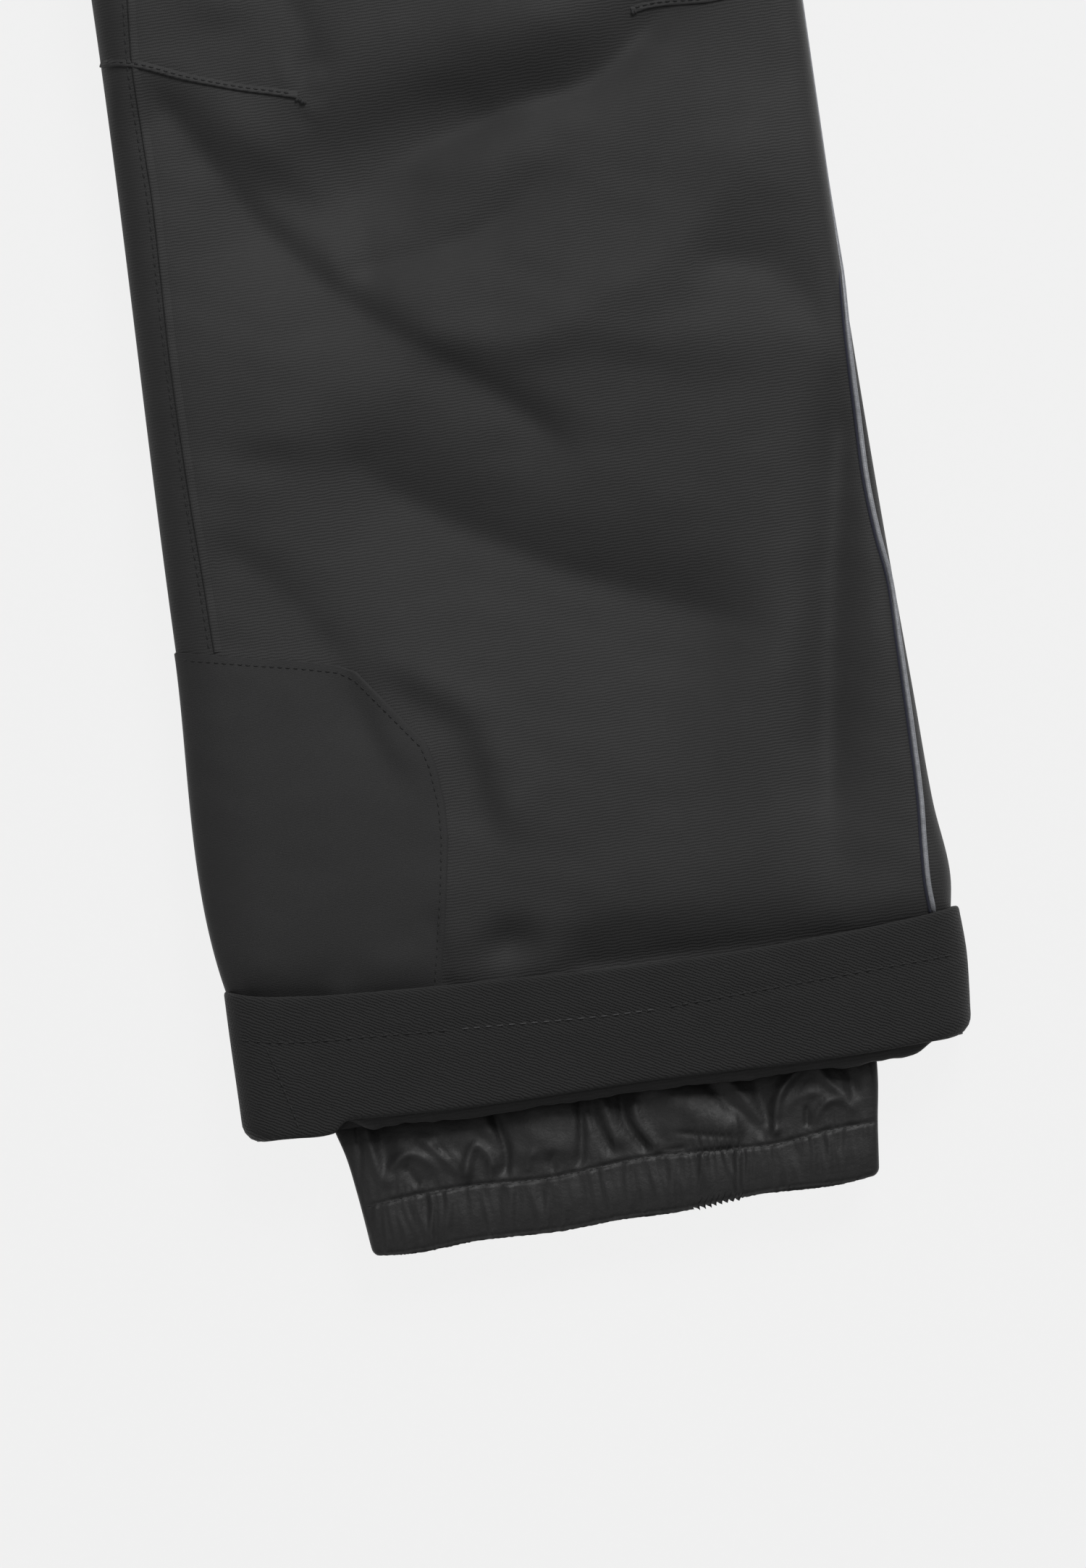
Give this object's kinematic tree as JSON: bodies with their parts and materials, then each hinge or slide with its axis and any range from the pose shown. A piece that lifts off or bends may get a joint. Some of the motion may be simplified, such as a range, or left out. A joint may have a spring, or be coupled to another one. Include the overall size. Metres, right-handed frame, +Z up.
{
  "type": "ski pants",
  "caption": "Child's padded ski trousers laid flat, with turned-up hems, inner snow gaiters, inner-ankle scuff guards, knee darts, reflective side piping, zipped pockets and fly.",
  "frame": {"origin": "on the floor, under the middle of the garment's overall length and width", "axes": "+X to the wearer's left, +Y from the hems up to the waist, +Z up from the floor through the back of the garment to its front"},
  "size_m": [0.6768, 0.8924, 0.0392],
  "materials": {
    "shell_fabric": "matt ribbed charcoal-black weave",
    "lining_fabric": "smooth black taffeta over wadding",
    "guard_fabric": "close plain weave, matt",
    "facing_twill": "fine diagonal twill, matt",
    "gaiter_nylon": "thin coated nylon with a soft sheen",
    "reflective_piping": "pale grey reflective strip, satin",
    "elastic": "knitted elastic",
    "zip_tape": "woven tape",
    "zip_coil": "nylon coil",
    "zip_slider": "satin black",
    "snap_metal": "dark nickel",
    "hook_and_loop": "dense pile",
    "adjuster_webbing": "close woven strap",
    "label_satin": "blank satin label"
  },
  "bodies": {
    "seat": {"left_front_hip": "shell_fabric", "right_front_hip": "shell_fabric", "left_back_hip": "shell_fabric", "right_back_hip": "shell_fabric", "front_seat_lining": "lining_fabric", "back_seat_lining": "lining_fabric", "left_pocket_bag": "lining_fabric", "right_pocket_bag": "lining_fabric", "waistband_front_left": "shell_fabric", "waistband_front_right": "shell_fabric", "waistband_back": "shell_fabric", "waistband_facing": "lining_fabric", "waist_elastic": "elastic", "waist_label": "label_satin", "belt_loops": "shell_fabric", "snap_stud": "snap_metal", "fly_underlap": "lining_fabric", "fly_tapes": "zip_tape", "fly_teeth": "zip_coil", "left_pocket_tapes": "zip_tape", "right_pocket_tapes": "zip_tape", "left_pocket_teeth": "zip_coil", "right_pocket_teeth": "zip_coil", "adjuster_patches": "hook_and_loop"},
    "left_thigh": {"left_front_thigh": "shell_fabric", "left_back_thigh": "shell_fabric", "left_thigh_lining": "lining_fabric"},
    "left_shin": {"left_front_shin": "shell_fabric", "left_back_shin": "shell_fabric", "left_shin_lining": "lining_fabric", "left_scuff_guard": "guard_fabric", "left_piping": "reflective_piping"},
    "left_cuff": {"left_cuff": "facing_twill"},
    "left_gaiter": {"left_gaiter": "gaiter_nylon", "left_gaiter_elastic": "elastic"},
    "right_thigh": {"right_front_thigh": "shell_fabric", "right_back_thigh": "shell_fabric", "right_thigh_lining": "lining_fabric"},
    "right_shin": {"right_front_shin": "shell_fabric", "right_back_shin": "shell_fabric", "right_shin_lining": "lining_fabric", "right_scuff_guard": "guard_fabric", "right_piping": "reflective_piping"},
    "right_cuff": {"right_cuff": "facing_twill"},
    "right_gaiter": {"right_gaiter": "gaiter_nylon", "right_gaiter_elastic": "elastic"},
    "fly_overlap": {"fly_flap": "shell_fabric", "waist_tab": "shell_fabric", "snap_cap": "snap_metal"},
    "fly_slider": {"fly_slider": "zip_slider", "fly_pull": "zip_slider"},
    "left_pocket_slider": {"left_pocket_slider": "zip_slider"},
    "left_pocket_pull": {"left_pocket_pull": "zip_slider"},
    "left_adjuster": {"left_adjuster_tab": "adjuster_webbing", "left_adjuster_hooks": "hook_and_loop"},
    "right_pocket_slider": {"right_pocket_slider": "zip_slider"},
    "right_pocket_pull": {"right_pocket_pull": "zip_slider"},
    "right_adjuster": {"right_adjuster_tab": "adjuster_webbing", "right_adjuster_hooks": "hook_and_loop"}
  },
  "joints": [
    {"name": "left_hip_fold", "type": "hinge", "parent": "seat", "child": "left_thigh", "pos_m": [0.15, 0.1657, 0.03], "axis": [-1, 0, 0], "range_deg": [0, 150]},
    {"name": "left_knee_fold", "type": "hinge", "parent": "left_thigh", "child": "left_shin", "pos_m": [0.1775, -0.0728, 0], "axis": [0.9885, 0.1513, 0], "range_deg": [0, 150]},
    {"name": "left_cuff_turn_down", "type": "slide", "parent": "left_shin", "child": "left_cuff", "axis": [0.1513, -0.9885, 0], "range_m": [0, 0.042]},
    {"name": "left_gaiter_tuck", "type": "slide", "parent": "left_shin", "child": "left_gaiter", "axis": [-0.1513, 0.9885, 0], "range_m": [0, 0.06]},
    {"name": "right_hip_fold", "type": "hinge", "parent": "seat", "child": "right_thigh", "pos_m": [-0.15, 0.1657, 0.03], "axis": [-1, 0, 0], "range_deg": [0, 150]},
    {"name": "right_knee_fold", "type": "hinge", "parent": "right_thigh", "child": "right_shin", "pos_m": [-0.1775, -0.0728, 0], "axis": [0.9885, -0.1513, 0], "range_deg": [0, 150]},
    {"name": "right_cuff_turn_down", "type": "slide", "parent": "right_shin", "child": "right_cuff", "axis": [-0.1513, -0.9885, 0], "range_m": [0, 0.042]},
    {"name": "right_gaiter_tuck", "type": "slide", "parent": "right_shin", "child": "right_gaiter", "axis": [0.1513, 0.9885, 0], "range_m": [0, 0.06]},
    {"name": "fly_overlap_open", "type": "hinge", "parent": "seat", "child": "fly_overlap", "pos_m": [0.034, 0.3522, 0.0376], "axis": [0, 1, 0], "range_deg": [0, 120]},
    {"name": "fly_zip", "type": "slide", "parent": "seat", "child": "fly_slider", "axis": [0, -1, 0], "range_m": [0, 0.088]},
    {"name": "left_pocket_zip", "type": "slide", "parent": "seat", "child": "left_pocket_slider", "axis": [0.3393, -0.9407, 0], "range_m": [0, 0.105]},
    {"name": "left_pocket_pull_swing", "type": "hinge", "parent": "left_pocket_slider", "child": "left_pocket_pull", "pos_m": [0.13739, 0.36079, 0.0351], "axis": [-0.9407, -0.3393, 0], "range_deg": [0, 170]},
    {"name": "left_adjuster_peel", "type": "hinge", "parent": "seat", "child": "left_adjuster", "pos_m": [0.152, 0.4107, 0.0389], "axis": [0, 1, 0], "range_deg": [0, 150]},
    {"name": "right_pocket_zip", "type": "slide", "parent": "seat", "child": "right_pocket_slider", "axis": [-0.3393, -0.9407, 0], "range_m": [0, 0.105]},
    {"name": "right_pocket_pull_swing", "type": "hinge", "parent": "right_pocket_slider", "child": "right_pocket_pull", "pos_m": [-0.13739, 0.36079, 0.0351], "axis": [-0.9407, 0.3393, 0], "range_deg": [0, 170]},
    {"name": "right_adjuster_peel", "type": "hinge", "parent": "seat", "child": "right_adjuster", "pos_m": [-0.152, 0.4107, 0.0389], "axis": [0, -1, 0], "range_deg": [0, 150]}
  ],
  "couplings": [
    {"joint": "left_knee_fold", "follows": "left_hip_fold", "ratio": 1},
    {"joint": "right_knee_fold", "follows": "right_hip_fold", "ratio": 1}
  ]
}
